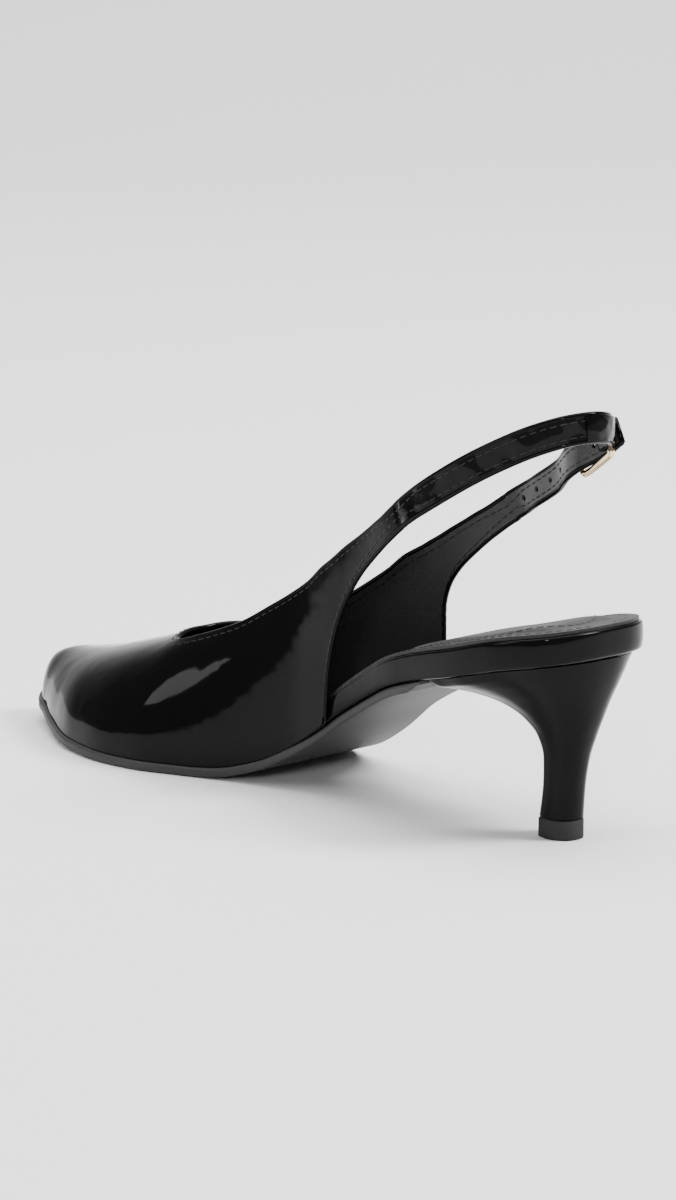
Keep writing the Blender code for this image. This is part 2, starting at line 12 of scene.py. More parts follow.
import bmesh
import bpy
import numpy as np
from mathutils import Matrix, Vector


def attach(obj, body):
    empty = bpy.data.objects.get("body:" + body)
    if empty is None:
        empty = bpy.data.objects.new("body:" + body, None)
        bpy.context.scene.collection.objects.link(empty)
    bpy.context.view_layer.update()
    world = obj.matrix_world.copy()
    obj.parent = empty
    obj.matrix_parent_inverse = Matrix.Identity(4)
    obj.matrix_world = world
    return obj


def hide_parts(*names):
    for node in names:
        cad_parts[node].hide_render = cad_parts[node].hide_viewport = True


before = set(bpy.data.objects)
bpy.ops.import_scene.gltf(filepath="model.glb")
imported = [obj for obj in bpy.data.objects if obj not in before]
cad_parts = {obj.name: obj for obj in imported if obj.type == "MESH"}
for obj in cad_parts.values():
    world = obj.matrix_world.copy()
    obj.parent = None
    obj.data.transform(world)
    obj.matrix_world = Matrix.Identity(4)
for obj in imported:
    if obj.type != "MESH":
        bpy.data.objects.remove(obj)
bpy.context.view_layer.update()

LOG = logging.getLogger("slingback_pump")
Row = tuple[float, ...]
Grid = list[list[Vector]]
Measure = Callable[[float], float]
Frame = tuple[Vector, Vector, Vector]

SHOE_LENGTH = 0.243
BALL_WIDTH = 0.070
SEAT_HEIGHT = 0.0549
INSTEP_HEIGHT = 0.080
TOPLINE_HEIGHT = 0.100
REAR_RADIUS = 0.0290
TOE_RADIUS = 0.0110
HEEL_SETBACK = 0.0183
CLEARANCE = 0.0003
FEATHER = 0.0
CROWN = 100.0
REAR_ROUNDING = 2.6
WALL_ROUNDING = 0.80
HEEL_ROUNDING = 2.3
HEEL_REAR_SHARE = 0.62
BREAST_NARROWING = 0.16

PLAN: tuple[Row, ...] = (
    # along, lateral, medial
    (0.000, 0.372, 0.372),
    (0.120, 0.379, 0.379),
    (0.260, 0.366, 0.325),
    (0.380, 0.336, 0.256),
    (0.450, 0.345, 0.250),
    (0.520, 0.380, 0.290),
    (0.610, 0.455, 0.390),
    (0.690, 0.510, 0.478),
    (0.740, 0.512, 0.490),
    (0.820, 0.430, 0.445),
    (0.900, 0.275, 0.315),
    (0.960, 0.160, 0.190),
    (1.000, 0.105, 0.125),
)
SPINE: tuple[Row, ...] = (
    # along, feather, thickness, crown
    (0.000, 1.000, 1.00, 1.20),
    (0.082, 0.940, 1.00, 1.20),
    (0.169, 0.845, 0.98, 1.20),
    (0.239, 0.772, 0.95, 1.20),
    (0.288, 0.703, 0.93, 1.14),
    (0.337, 0.597, 0.89, 1.06),
    (0.383, 0.480, 0.84, 0.99),
    (0.420, 0.362, 0.76, 0.92),
    (0.453, 0.268, 0.66, 0.84),
    (0.515, 0.132, 0.48, 0.75),
    (0.576, 0.064, 0.35, 0.65),
    (0.617, 0.0546, 0.30, 0.585),
    (0.712, 0.0546, 0.30, 0.450),
    (0.823, 0.070, 0.30, 0.335),
    (0.926, 0.116, 0.30, 0.230),
    (1.000, 0.166, 0.30, 0.165),
)
LATERAL_RIBS: tuple[Row, ...] = (
    # low_along, low_height, top_along, top_height
    (0.712, FEATHER, 0.712, CROWN),
    (0.662, FEATHER, 0.676, 0.385),
    (0.590, FEATHER, 0.612, 0.428),
    (0.524, FEATHER, 0.550, 0.492),
    (0.458, FEATHER, 0.488, 0.578),
    (0.405, FEATHER, 0.432, 0.670),
    (0.375, FEATHER, 0.391, 0.728),
    (0.374, 0.416, 0.366, 0.763),
    (0.372, 0.530, 0.348, 0.790),
    (0.360, 0.617, 0.332, 0.813),
    (0.337, 0.687, 0.314, 0.840),
    (0.300, 0.765, 0.290, 0.874),
    (0.250, 0.848, 0.2655, 0.912),
)
MEDIAL_RIBS: tuple[Row, ...] = (
    # low_along, low_height, top_along, top_height
    (0.712, FEATHER, 0.712, CROWN),
    (0.662, FEATHER, 0.674, 0.388),
    (0.595, FEATHER, 0.600, 0.445),
    (0.535, FEATHER, 0.540, 0.512),
    (0.480, FEATHER, 0.484, 0.590),
    (0.435, FEATHER, 0.435, 0.672),
    (0.405, FEATHER, 0.396, 0.738),
    (0.400, 0.380, 0.370, 0.782),
    (0.388, 0.520, 0.352, 0.808),
    (0.366, 0.635, 0.337, 0.831),
    (0.336, 0.725, 0.320, 0.858),
    (0.300, 0.800, 0.300, 0.890),
    (0.262, 0.870, 0.2780, 0.930),
)
HEEL_LEVELS: tuple[Row, ...] = (
    # level, rear, front, half_width, follow
    (0.1129, 0.2302, 0.4426, 0.2265, 0.00),
    (0.272, 0.218, 0.421, 0.222, 0.00),
    (0.430, 0.192, 0.414, 0.240, 0.00),
    (0.545, 0.156, 0.437, 0.292, 0.05),
    (0.655, 0.120, 0.509, 0.392, 0.20),
    (0.755, 0.089, 0.620, 0.520, 0.45),
    (0.845, 0.060, 0.750, 0.680, 0.70),
    (0.918, 0.040, 0.880, 0.830, 0.90),
    (0.963, 0.030, 0.968, 0.925, 1.00),
    (1.000, 0.022, 1.000, 1.000, 1.00),
)
SLING_PATH: tuple[Row, ...] = (
    # along, across, height
    (0.806, 0.455, 0.830),
    (0.516, 0.370, 0.917),
    (0.300, 0.245, 0.972),
    (0.190, 0.120, 0.994),
    (0.142, -0.005, 0.999),
    (0.152, -0.120, 0.993),
)
BUCKLE_STRAP_PATH: tuple[Row, ...] = (
    # along, across, height
    (0.813, -0.480, 0.788),
    (0.655, -0.435, 0.8336),
)
BUCKLE_SPAN: tuple[Row, ...] = (
    # along, across, height ahead of the buckle and behind it
    (0.510, -0.385, 0.8805),
    (0.240, -0.310, 0.968),
)
SOLE_PROFILE: tuple[Row, ...] = (
    # share of the thickness, inset
    (1.0, 0.0009),
    (0.97, 0.0005),
    (0.90, 0.0002),
    (0.78, 0.0),
    (0.30, 0.0),
    (0.14, 0.0001),
    (0.04, 0.0003),
    (0.0, 0.0006),
)
TIP_PROFILE: tuple[Row, ...] = (
    # height, inset
    (0.0, 0.0004),
    (0.0001, 0.0001),
    (0.0004, 0.0),
    (0.0050, 0.0),
    (0.0056, 0.0001),
    (0.0058, 0.0003),
    (0.0059, 0.0007),
)


class Side(Enum):
    """Side of the right shoe, as the sign of Y."""

    LATERAL = -1
    MEDIAL = 1


def read_table(table: tuple[Row, ...] | list[Row], column: int, share: float) -> float:
    """Read a column of a table at a share, on a smooth line with no overshoot.

    Args:
        table: Rows whose first value is the place.
        column: Column to read.
        share: Place to read it at.

    Returns:
        The value there.
    """
    knots = np.array([row[0] for row in table])
    values = np.array([row[column] for row in table])
    steps = np.diff(knots)
    slopes = np.diff(values) / steps
    tangents = np.zeros(len(knots))
    for k in range(1, len(knots) - 1):
        if slopes[k - 1] * slopes[k] > 0.0:
            first = 2.0 * steps[k] + steps[k - 1]
            second = steps[k] + 2.0 * steps[k - 1]
            tangents[k] = (first + second) / (first / slopes[k - 1] + second / slopes[k])
    tangents[0] = slopes[0]
    tangents[-1] = slopes[-1]
    share = min(max(share, knots[0]), knots[-1])
    k = min(int(np.searchsorted(knots, share, side="right")) - 1, len(steps) - 1)
    t = (share - knots[k]) / steps[k]
    return float(
        (1.0 + 2.0 * t) * (1.0 - t) ** 2 * values[k]
        + t * (1.0 - t) ** 2 * steps[k] * tangents[k]
        + t * t * (3.0 - 2.0 * t) * values[k + 1]
        + t * t * (t - 1.0) * steps[k] * tangents[k + 1]
    )


def ease(value: float, low: float, high: float) -> float:
    """Rise smoothly from nought at low to one at high."""
    t = min(max((value - low) / (high - low), 0.0), 1.0)
    return t * t * (3.0 - 2.0 * t)


def to_world(along: float, across: float, height: float) -> Vector:
    """Turn a place measured from the footbed's rear end into a world point."""
    return Vector((along - HEEL_SETBACK, across, height))


def smooth_path(points: list[Vector], count: int) -> list[Vector]:
    """Spread points along a smooth curve through the given ones.

    Args:
        points: Points that the curve passes through.
        count: How many points to return.

    Returns:
        Evenly spread points.
    """
    knots = np.array([list(point) for point in points])
    steps = np.linalg.norm(np.diff(knots, axis=0), axis=1)
    places = np.concatenate(([0.0], np.cumsum(steps)))
    tangents = np.gradient(knots, places, axis=0)
    result = []
    for place in np.linspace(0.0, places[-1], count):
        k = min(int(np.searchsorted(places, place, side="right")) - 1, len(steps) - 1)
        t = (place - places[k]) / steps[k]
        point = (
            (1.0 + 2.0 * t) * (1.0 - t) ** 2 * knots[k]
            + t * (1.0 - t) ** 2 * steps[k] * tangents[k]
            + t * t * (3.0 - 2.0 * t) * knots[k + 1]
            + t * t * (t - 1.0) * steps[k] * tangents[k + 1]
        )
        result.append(Vector(point))
    return result


@dataclass
class MeshMaker:
    """Collects points and faces and turns them into one smooth object."""

    data: bmesh.types.BMesh = field(default_factory=bmesh.new)

    def add_grid(self, grid: Grid, closed_across: bool = False, closed_along: bool = False) -> Grid:
        """Add a grid of faces.

        Args:
            grid: Rows of points.
            closed_across: Join each row's last point to its first.
            closed_along: Join the last row to the first.

        Returns:
            The grid's vertices.
        """
        verts = [[self.data.verts.new(point) for point in row] for row in grid]
        rows = len(verts)
        columns = len(verts[0])
        for i in range(rows if closed_along else rows - 1):
            for j in range(columns if closed_across else columns - 1):
                following = (i + 1) % rows
                beside = (j + 1) % columns
                corners = (verts[i][j], verts[i][beside], verts[following][beside], verts[following][j])
                self.data.faces.new(corners)
        return verts

    def add_tube(self, path: list[Vector], radius: float, sides: int = 8, closed: bool = False) -> None:
        """Add a round tube along a path, with flat ends if it is open.

        Args:
            path: Points of its middle line.
            radius: Radius of the tube.
            sides: Points round it.
            closed: Join its end to its start.
        """
        rings = tube_rings(path, radius, sides, closed)
        verts = self.add_grid(rings, closed_across=True, closed_along=closed)
        if not closed:
            self.data.faces.new(verts[0])
            self.data.faces.new(verts[-1])

    def finish(self, name: str, finish: "Finish", slot: str, sharp: float = 50.0) -> bpy.types.Object:
        """Make the object, give it its material and let it ride on the shoe.

        Args:
            name: Name of the piece.
            finish: Surface of the piece.
            slot: Part slot that it belongs to; not used.
            sharp: Angle in degrees past which an edge stays crisp.

        Returns:
            The finished object.
        """
        bmesh.ops.remove_doubles(self.data, verts=self.data.verts, dist=0.000004)
        bmesh.ops.recalc_face_normals(self.data, faces=self.data.faces)
        mesh = bpy.data.meshes.new(name)
        self.data.to_mesh(mesh)
        self.data.free()
        mesh.shade_smooth()
        mesh.set_sharp_from_angle(angle=math.radians(sharp))
        item = bpy.data.objects.new(name, mesh)
        bpy.context.scene.collection.objects.link(item)
        mesh.materials.append(finish.material())
        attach(item, "root")
        LOG.info("%s: %d faces", name, len(mesh.polygons))
        return item


def tube_rings(path: list[Vector], radius: float, sides: int, closed: bool) -> Grid:
    """Rings of a round tube that turn as little as they can along a path.

    Args:
        path: Points of its middle line.
        radius: Radius of the tube.
        sides: Points round it.
        closed: Whether the path comes back to its start.

    Returns:
        One ring of points for each point of the path.
    """
    count = len(path)
    spoke = Vector((0.12, 0.31, 0.94))
    rings = []
    for k in range(count):
        before = path[k - 1] if k or closed else path[0]
        after = path[(k + 1) % count] if k < count - 1 or closed else path[-1]
        tangent = (after - before).normalized()
        spoke = (spoke - tangent * spoke.dot(tangent)).normalized()
        other = tangent.cross(spoke)
        ring = []
        for n in range(sides):
            turn = 2.0 * math.pi * n / sides
            ring.append(path[k] + (spoke * math.cos(turn) + other * math.sin(turn)) * radius)
        rings.append(ring)
    return rings


@dataclass(frozen=True)
class Finish:
    """A procedural surface: colour, gloss, coat, grain and slow waviness."""

    name: str
    color: tuple[float, float, float]
    roughness: float
    metallic: float = 0.0
    specular: float = 0.5
    coat: float = 0.0
    coat_roughness: float = 0.03
    grain_size: float = 0.0006
    grain_depth: float = 0.0
    wave_size: float = 0.012
    wave_depth: float = 0.0
    wave_detail: float = 2.0
    variation: float = 0.10

    def material(self) -> bpy.types.Material:
        """Make the material, or find it if it is there.

        Returns:
            The material, shared by every piece with this finish.
        """
        made = bpy.data.materials.get(self.name)
        if made:
            return made
        made = bpy.data.materials.new(self.name)
        made.use_nodes = True
        nodes = made.node_tree.nodes
        links = made.node_tree.links
        shader = nodes["Principled BSDF"]
        shader.inputs["Metallic"].default_value = self.metallic
        shader.inputs["Specular IOR Level"].default_value = self.specular
        shader.inputs["Coat Weight"].default_value = self.coat
        shader.inputs["Coat Roughness"].default_value = self.coat_roughness
        place = nodes.new("ShaderNodeTexCoord")
        slow = nodes.new("ShaderNodeTexNoise")
        slow.inputs["Scale"].default_value = 1.0 / self.wave_size
        slow.inputs["Detail"].default_value = self.wave_detail
        links.new(place.outputs["Object"], slow.inputs["Vector"])
        tint = nodes.new("ShaderNodeMix")
        tint.data_type = "RGBA"
        tint.inputs["A"].default_value = (*[c * (1.0 - self.variation) for c in self.color], 1.0)
        tint.inputs["B"].default_value = (*[c * (1.0 + self.variation) for c in self.color], 1.0)
        links.new(slow.outputs["Fac"], tint.inputs["Factor"])
        links.new(tint.outputs["Result"], shader.inputs["Base Color"])
        gloss = nodes.new("ShaderNodeMapRange")
        gloss.inputs["To Min"].default_value = self.roughness * 0.85
        gloss.inputs["To Max"].default_value = self.roughness * 1.15
        links.new(slow.outputs["Fac"], gloss.inputs["Value"])
        links.new(gloss.outputs["Result"], shader.inputs["Roughness"])
        wave = nodes.new("ShaderNodeBump")
        wave.inputs["Strength"].default_value = 1.0
        wave.inputs["Distance"].default_value = self.wave_depth
        links.new(slow.outputs["Fac"], wave.inputs["Height"])
        last = wave
        if self.grain_depth > 0.0:
            fine = nodes.new("ShaderNodeTexVoronoi")
            fine.inputs["Scale"].default_value = 1.0 / self.grain_size
            links.new(place.outputs["Object"], fine.inputs["Vector"])
            grain = nodes.new("ShaderNodeBump")
            grain.inputs["Strength"].default_value = 1.0
            grain.inputs["Distance"].default_value = self.grain_depth
            links.new(fine.outputs["Distance"], grain.inputs["Height"])
            links.new(wave.outputs["Normal"], grain.inputs["Normal"])
            last = grain
        links.new(last.outputs["Normal"], shader.inputs["Normal"])
        return made


PATENT = Finish("patent_leather", (0.003, 0.003, 0.0032), 0.07, specular=0.06, coat=0.05,
                coat_roughness=0.02, wave_size=0.016, wave_depth=0.00035)
CRINKLED = Finish("crinkled_patent", (0.003, 0.003, 0.0032), 0.06, specular=0.08, coat=0.06,
                  coat_roughness=0.02, wave_size=0.0075, wave_depth=0.0030, wave_detail=0.6)
LINING = Finish("lining_leather", (0.020, 0.020, 0.021), 0.38, specular=0.50, grain_size=0.0007,
                grain_depth=0.00005, wave_depth=0.0002)
SOCK = Finish("sock_leather", (0.015, 0.015, 0.0155), 0.48, specular=0.30, grain_size=0.00055,
              grain_depth=0.00016, wave_depth=0.00015)
SOLE = Finish("sole_leather", (0.007, 0.007, 0.007), 0.24, specular=0.15, coat=0.08,
              coat_roughness=0.15, grain_size=0.0005, grain_depth=0.00003, wave_depth=0.0002)
RUBBER = Finish("tip_rubber", (0.005, 0.005, 0.005), 0.42, specular=0.2, grain_size=0.0004,
                grain_depth=0.00004)
GOLD = Finish("pale_gold", (0.86, 0.66, 0.42), 0.14, metallic=1.0, wave_depth=0.00002)
THREAD = Finish("thread", (0.005, 0.005, 0.005), 0.35, specular=0.3, grain_size=0.0002,
                grain_depth=0.00004)


@dataclass
class Last:
    """The shape inside the shoe, with its outline, seat line and crown."""

    footbed_thickness: float = 0.0086

    def outline(self, along: float, side: Side, grow: float) -> tuple[float, float]:
        """Place along and across of the outline, grown outward by a margin.

        Args:
            along: Place along the shoe.
            side: Side of the shoe.
            grow: Margin outward.

        Returns:
            The moved place along the shoe and the half width there.
        """
        column = 1 if side is Side.LATERAL else 2
        width = read_table(PLAN, column, along / SHOE_LENGTH) * BALL_WIDTH + grow
        rear = max(1.0 - along / REAR_RADIUS, 0.0)
        toe = min(max((along - SHOE_LENGTH + TOE_RADIUS) / TOE_RADIUS, 0.0), 1.0)
        rear_round = (1.0 - rear ** REAR_ROUNDING) ** (1.0 / REAR_ROUNDING)
        toe_round = math.sqrt(max(1.0 - toe * toe, 0.0))
        return along + grow * (toe - rear), width * rear_round * toe_round

    def feather(self, along: float) -> float:
        """Height of the line where upper and footbed meet the outsole."""
        return read_table(SPINE, 1, along / SHOE_LENGTH) * SEAT_HEIGHT

    def bed_top(self, along: float) -> float:
        """Height of the footbed's top face."""
        thickness = read_table(SPINE, 2, along / SHOE_LENGTH) * self.footbed_thickness
        return self.feather(along) + CLEARANCE + thickness

    def crown(self, along: float) -> float:
        """Height of the crown over the feather line.

        Args:
            along: Place along the shoe.

        Returns:
            The height, rounded off at the toe.
        """
        toe = min(max((along - SHOE_LENGTH + TOE_RADIUS) / TOE_RADIUS, 0.0), 1.0)
        toe_round = 0.5 + 0.5 * math.sqrt(max(1.0 - toe * toe, 0.0))
        return read_table(SPINE, 3, along / SHOE_LENGTH) * INSTEP_HEIGHT * toe_round

    def upper_point(self, along: float, angle: float, side: Side, grow: float, depth: float) -> Vector:
        """Point of the upper at a depth in its wall.

        Args:
            along: Place along the shoe.
            angle: Angle from the feather line to the crown.
            side: Side of the shoe.
            grow: Margin from the last to the wall's outer face.
            depth: Depth under the outer face.

        Returns:
            The world point.
        """
        moved, base = self.outline(along, side, grow - depth)
        across = base * max(math.cos(angle), 0.0) ** WALL_ROUNDING
        rise = (self.crown(along) - depth) * math.sin(angle)
        return to_world(moved, side.value * across, self.feather(along) + CLEARANCE + rise)

    def stations(self, start: float, spacing: float, ends: int) -> list[float]:
        """Places along the shoe, closer together round its ends.

        Args:
            start: First place.
            spacing: Distance between places on the straight.
            ends: Places round each end.

        Returns:
            The places, from rear to toe.
        """
        places = []
        if start < REAR_RADIUS:
            for k in range(ends):
                turn = 0.5 * math.pi * k / ends
                places.append(start + (REAR_RADIUS - start) * (1.0 - math.cos(turn)))
            start = REAR_RADIUS
        toe_start = SHOE_LENGTH - TOE_RADIUS
        count = round((toe_start - start) / spacing)
        places += [start + (toe_start - start) * k / count for k in range(count)]
        for k in range(ends + 1):
            places.append(toe_start + TOE_RADIUS * math.sin(0.5 * math.pi * k / ends))
        return places


@dataclass
class Slab:
    """A flat piece with the last's outline: a stack of loops and two faces."""

    last: Last
    places: list[float]

    def loop(self, margin: Measure, height: Measure) -> list[Vector]:
        """Points round the outline at a margin and a height, both functions of the place.

        Args:
            margin: Margin at a place along the shoe.
            height: Height at a place.

        Returns:
            The loop, from rear to toe on the lateral side and back on the medial one.
        """
        lateral = []
        medial = []
        for along in self.places:
            moved, across = self.last.outline(along, Side.LATERAL, margin(along))
            lateral.append(to_world(moved, -across, height(along)))
            moved, across = self.last.outline(along, Side.MEDIAL, margin(along))
            medial.append(to_world(moved, across, height(along)))
        if self.places[0] == 0.0:
            return lateral + medial[-2:0:-1]
        return lateral + medial[-2::-1]

    def build(self, loops: list[list[Vector]]) -> MeshMaker:
        """Walls between the loops and a face at each end.

        Args:
            loops: Loops from one face to the other.

        Returns:
            The maker that holds the slab.
        """
        maker = MeshMaker()
        rings = maker.add_grid(loops, closed_across=True)
        sides = len(self.places)
        shared = len(rings[0]) == 2 * (sides - 1)
        for ring in (rings[0], rings[-1]):
            for k in range(sides - 1):
                partners = []
                for index in (k + 1, k):
                    if index == sides - 1 or (shared and index == 0):
                        partners.append(ring[index])
                    else:
                        partners.append(ring[2 * (sides - 1) - index])
                corners = []
                for vert in (ring[k], ring[k + 1], *partners):
                    if vert not in corners:
                        corners.append(vert)
                maker.data.faces.new(corners)
        return maker


@dataclass
class Bottom:
    """Footbed, sock lining, outsole, heel and top piece."""

    last: Last
    sock_inset: float = 0.0010
    outsole_thickness: float = 0.0030
    sole_edge: float = 0.0012
    waist_tuck: float = 0.0012
    upper_wall: float = 0.0016
    heel_front: float = 0.0540
    tip_width: float = 0.0118
    spacing: float = 0.0022
    low_round: float = 0.0016
    high_round: float = 0.0008
    edge_hollow: float = 0.00018
    sock_spacing: float = 0.0020
    sock_columns: int = 40
    sock_thickness: float = 0.0009
    sock_depth: float = 0.0010
    cushion_rise: float = 0.0009
    cushion_margin: float = 0.0085
    cushion_narrowing: float = 0.006
    cushion_waist: float = 0.060
    cushion_end: float = 0.108
    cushion_rear: float = 0.0105
    stitch_inset: float = 0.0040
    skive_length: float = 0.008
    skive_share: float = 0.65
    seat_inset: float = 0.0012
    heel_steps: int = 72
    section_steps: int = 30
    breast_corner: float = 0.0014
    corner_share: float = 0.12

    def bed_margin(self, along: float) -> float:
        """The footbed slips inside the upper ahead of the waist."""
        return -CLEARANCE * ease(along, 0.34 * SHOE_LENGTH, 0.42 * SHOE_LENGTH)

    def footbed(self) -> None:
        """Patent-wrapped platform with softly rolled edges."""
        last = self.last
        slab = Slab(last, last.stations(0.0, self.spacing, 22))
        low = self.low_round
        high = self.high_round
        profile = []
        for k in range(6):
            turn = 0.5 * math.pi * k / 5
            profile.append((0.0, low * (1.0 - math.sin(turn)), low * (1.0 - math.cos(turn))))
        for share in (0.35, 0.5, 0.65, 0.8):
            profile.append((share, -self.edge_hollow * math.sin(math.pi * share), 0.0))
        for k in range(6):
            turn = 0.5 * math.pi * k / 5
            profile.append((1.0, high * (1.0 - math.cos(turn)), -high * (1.0 - math.sin(turn))))
        loops = []
        for share, inset, lift in profile:
            loops.append(slab.loop(
                lambda along, inset=inset: self.bed_margin(along) - inset,
                lambda along, share=share, lift=lift: lift
                + (last.feather(along) + CLEARANCE) * (1.0 - share) + last.bed_top(along) * share,
            ))
        piece = slab.build(loops).finish("wrapped_footbed", PATENT, "patent")
        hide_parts("footbed")

    def cushion_half(self, along: float, edge: float) -> float:
        """Half width of the cushion where the sock's own half width is edge."""
        narrowing = self.cushion_narrowing * ease(along, self.cushion_waist, self.cushion_end)
        return edge - self.cushion_margin - narrowing

    def sock_height(self, along: float, across: float, edge: float) -> float:
        """Height of the sock lining, with the cushion raised inside its stitched outline.

        Args:
            along: Place along the shoe.
            across: Place across it.
            edge: Half width of the sock there.

        Returns:
            Height of its top face.
        """
        rear = self.cushion_rear
        end = self.cushion_end
        inside = ease(self.cushion_half(along, edge) - abs(across), -0.0006, 0.0026)
        inside *= ease(along, rear, rear + 0.006) * (1.0 - ease(along, end - 0.030, end))
        level = self.last.bed_top(along) + CLEARANCE
        return level + self.sock_thickness + self.cushion_rise * inside

    def sock(self) -> None:
        """Grained sock lining with its padded heel and two stitch lines."""
        last = self.last
        places = last.stations(0.0, self.sock_spacing, 18)
        columns = self.sock_columns
        top = []
        for along in places:
            row = []
            moved_l, left = last.outline(along, Side.LATERAL, self.bed_margin(along) - self.sock_inset)
            moved_m, right = last.outline(along, Side.MEDIAL, self.bed_margin(along) - self.sock_inset)
            for j in range(columns + 1):
                share = j / columns
                across = -left + (left + right) * share
                moved = moved_l + (moved_m - moved_l) * share
                edge = left if across < 0.0 else right
                row.append(to_world(moved, across, self.sock_height(moved, across, edge)))
            top.append(row)
        maker = MeshMaker()
        maker.add_grid(top)
        drop = Vector((0.0, 0.0, self.sock_depth))
        bottom = [[point - drop for point in row] for row in top]
        for k in (0, -1):
            maker.add_grid([[row[k] for row in top], [row[k] for row in bottom]])
        maker.add_grid(bottom)
        piece = maker.finish("sock_leather_sheet", SOCK, "lining", 35.0)
        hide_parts("sock_lining")

    def sock_stitches(self) -> list[list[Vector]]:
        """Paths of the edge stitch line and of the cushion's outline.

        Returns:
            Two paths for each side.
        """
        last = self.last
        paths = []
        for side in Side:
            path = []
            for k in range(160):
                along = 0.0002 + 0.120 * (k / 159) ** 1.6
                moved, across = last.outline(along, side, -self.stitch_inset)
                edge = last.outline(along, side, -self.sock_inset)[1]
                height = self.sock_height(moved, across, edge)
                path.append(to_world(moved, side.value * across, height))
            paths.append(path)
        for side in Side:
            path = []
            for k in range(120):
                share = k / 119
                along = 0.0120 + 0.082 * share ** 1.7
                edge = last.outline(along, side, -self.sock_inset)[1]
                rounding = math.sqrt(max(1.0 - (1.0 - min((along - 0.0120) / 0.016, 1.0)) ** 2, 0.0))
                across = self.cushion_half(along, edge) * rounding
                height = self.sock_height(along, across, edge)
                path.append(to_world(along, side.value * across, height))
            paths.append(path)
        return paths

    def sole_margin(self, along: float) -> float:
        """The outsole tucks in at the waist and stands proud round the forepart.

        Args:
            along: Place along the shoe.

        Returns:
            Margin from the last's outline.
        """
        proud = CLEARANCE + self.upper_wall + self.sole_edge
        share = ease(along, 0.36 * SHOE_LENGTH, 0.50 * SHOE_LENGTH)
        return -self.waist_tuck + (proud + self.waist_tuck) * share

    def sole_depth(self, along: float) -> float:
        """Thickness of the outsole, skived where it meets the breast."""
        skive = 1.0 - ease(along, self.heel_front, self.heel_front + self.skive_length)
        return self.outsole_thickness * (1.0 - self.skive_share * skive)

    def outsole(self) -> None:
        """Thin glossy sole with an eased edge."""
        last = self.last
        slab = Slab(last, last.stations(self.heel_front + CLEARANCE, self.spacing, 20))
        loops = []
        for share, inset in SOLE_PROFILE:
            loops.append(slab.loop(
                lambda along, inset=inset: self.sole_margin(along) - inset,
                lambda along, share=share: last.feather(along) - share * self.sole_depth(along),
            ))
        piece = slab.build(loops).finish("leather_outsole", SOLE, "sole_leather")
        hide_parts("outsole")

    def section(self, rear: float, front: float, width: float,
                height: Measure) -> list[Vector]:
        """One level of the heel: rounded rear, nearly straight sides, soft breast corners.

        Args:
            rear: Rear end of the level.
            front: Front end at the breast.
            width: Half width.
            height: Height at a place along the shoe.

        Returns:
            Points round the level.
        """
        steps = self.section_steps
        lateral = []
        medial = []
        corner = min(self.breast_corner, self.corner_share * (front - rear))
        for k in range(steps + 1):
            share = 1.0 - math.cos(0.5 * math.pi * k / steps)
            along = rear + (front - rear) * share
            turned = max(1.0 - share / HEEL_REAR_SHARE, 0.0)
            rounding = (1.0 - turned ** HEEL_ROUNDING) ** (1.0 / HEEL_ROUNDING)
            across = width * rounding * (1.0 - BREAST_NARROWING * ease(share, HEEL_REAR_SHARE, 1.0))
            left = min((front - along) / corner, 1.0)
            across -= corner * (1.0 - math.sqrt(max(1.0 - (1.0 - left) ** 2, 0.0)))
            lateral.append(to_world(along, -across, height(along)))
            medial.append(to_world(along, across, height(along)))
        return lateral + medial[-1:0:-1]

    def heel(self) -> None:
        """Slim heel, smooth from its tip to the flared seat and the breast's thin wedge."""
        last = self.last
        seat_half = last.outline(REAR_RADIUS, Side.MEDIAL, -self.seat_inset)[1]
        knots = [(k,) + row for k, row in enumerate(HEEL_LEVELS)]
        levels = self.heel_steps
        loops = []
        for n in range(levels + 1):
            share = (len(HEEL_LEVELS) - 1) * n / levels
            level, rear, front, width, follow = (read_table(knots, c, share) for c in range(1, 6))
            loops.append(self.section(
                rear * self.heel_front,
                front * self.heel_front,
                width * seat_half,
                lambda along, level=level, follow=follow: level * SEAT_HEIGHT
                - follow * (SEAT_HEIGHT - last.feather(along)),
            ))
        piece = self.close_section(loops, "covered_heel", PATENT, "patent")
        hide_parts("heel")

    def close_section(self, loops: list[list[Vector]], name: str, finish: Finish,
                      slot: str) -> bpy.types.Object:
        """Close heel loops with walls and paired end faces.

        Args:
            loops: Levels from the floor upward.
            name: Name of the piece.
            finish: Its surface.
            slot: Part slot that it belongs to.

        Returns:
            The finished object.
        """
        maker = MeshMaker()
        rings = maker.add_grid(loops, closed_across=True)
        count = len(rings[0])
        half = (count - 1) // 2
        for ring in (rings[0], rings[-1]):
            maker.data.faces.new((ring[0], ring[1], ring[count - 1]))
            for k in range(1, half):
                maker.data.faces.new((ring[k], ring[k + 1], ring[count - 1 - k], ring[count - k]))
        return maker.finish(name, finish, slot)

    def top_piece(self) -> None:
        """Heel tip with fine eased edges."""
        reach = 0.5 * self.tip_width
        loops = []
        for height, inset in TIP_PROFILE:
            loops.append(self.section(
                HEEL_SETBACK - reach + inset,
                HEEL_SETBACK + reach - inset,
                reach - inset,
                lambda _, height=height: height,
            ))
        piece = self.close_section(loops, "heel_tip", RUBBER, "tip_rubber")
        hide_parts("top_piece")

    def build(self) -> None:
        """Build and dress every piece under the foot."""
        self.footbed()
        self.sock()
        self.outsole()
        self.heel()
        self.top_piece()


